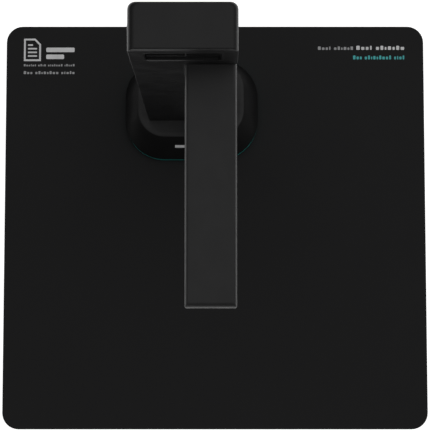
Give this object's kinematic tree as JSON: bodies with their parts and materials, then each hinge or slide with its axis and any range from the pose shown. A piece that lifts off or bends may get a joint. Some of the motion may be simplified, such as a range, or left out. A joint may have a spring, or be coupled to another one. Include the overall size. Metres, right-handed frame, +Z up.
{
  "type": "document camera",
  "caption": "Overhead document camera on a black work mat: weighted base, tall column with a lamp window, and a camera arm that folds down into the column.",
  "frame": {"origin": "on the desk plane, under the middle of the work mat", "axes": "+X to the user's right, +Y away from the user towards the column, +Z up"},
  "size_m": [0.44, 0.422, 0.3866],
  "materials": {
    "mat_pad": "matt, very fine grain",
    "black_shell": "satin black, fine spark-eroded grain",
    "gloss_black": "smoked gloss",
    "teal_accent": "satin teal",
    "rubber_feet": "matt",
    "steel_parts": "zinc-plated sheet and bar",
    "screw_steel": "black oxide",
    "socket_metal": "nickel-plated",
    "alloy_parts": "as cast",
    "brass_parts": "turned",
    "circuit_board": "solder mask",
    "white_plastic": "moulded, satin",
    "led_chip": "phosphor under clear resin",
    "lens_glass": "coated",
    "cable_jacket": "smooth"
  },
  "bodies": {
    "stand": {"accent_ring": "teal_accent", "base_bottom_plate": "black_shell", "base_cover": "black_shell", "base_screw_1": "screw_steel", "base_screw_2": "screw_steel", "base_screw_3": "screw_steel", "base_screw_4": "screw_steel", "base_weight": "steel_parts", "bracket_screw_1": "screw_steel", "bracket_screw_2": "screw_steel", "button_board": "circuit_board", "column_cable": "cable_jacket", "column_frame": "steel_parts", "column_housing": "black_shell", "column_rear_cover": "black_shell", "frame_bolt_1": "screw_steel", "frame_bolt_2": "screw_steel", "hinge_bracket": "steel_parts", "hinge_bush": "white_plastic", "lamp_board": "circuit_board", "lamp_led_1": "led_chip", "lamp_led_2": "led_chip", "lamp_led_3": "led_chip", "lamp_led_4": "led_chip", "lamp_reflector": "white_plastic", "lamp_switch": "socket_metal", "lamp_window": "gloss_black", "main_board": "circuit_board", "rear_cover_screw_1": "screw_steel", "rear_cover_screw_2": "screw_steel", "rubber_foot_1": "rubber_feet", "rubber_foot_2": "rubber_feet", "rubber_foot_3": "rubber_feet", "rubber_foot_4": "rubber_feet", "scan_switch": "socket_metal", "usb_inlet": "socket_metal", "work_mat": "mat_pad"},
    "arm": {"hinge_shaft": "steel_parts", "friction_disc": "brass_parts", "spring_washer": "steel_parts", "hinge_nut": "steel_parts", "arm_housing": "black_shell", "arm_top_cover": "black_shell", "arm_cable": "cable_jacket", "arm_knuckle": "alloy_parts", "arm_frame": "alloy_parts", "knuckle_screw_1": "screw_steel", "knuckle_screw_2": "screw_steel", "lens_bezel": "gloss_black", "lens_cover_glass": "lens_glass", "lens_barrel": "black_shell", "lens_glass": "lens_glass", "camera_board": "circuit_board", "arm_screw_1": "screw_steel", "arm_screw_2": "screw_steel", "arm_screw_3": "screw_steel", "arm_screw_4": "screw_steel"},
    "lamp_button": {"lamp_button": "gloss_black"},
    "scan_button": {"scan_button": "gloss_black"}
  },
  "joints": [
    {"name": "arm_fold", "type": "hinge", "parent": "stand", "child": "arm", "pos_m": [-0.0033, 0.1189, 0.3178], "axis": [1, 0, 0], "range_deg": [0, 90]},
    {"name": "lamp_button_press", "type": "slide", "parent": "stand", "child": "lamp_button", "axis": [1, 0, 0], "range_m": [0, 0.001], "stiffness_N_per_m": 600},
    {"name": "scan_button_press", "type": "slide", "parent": "stand", "child": "scan_button", "axis": [1, 0, 0], "range_m": [0, 0.001], "stiffness_N_per_m": 600}
  ]
}
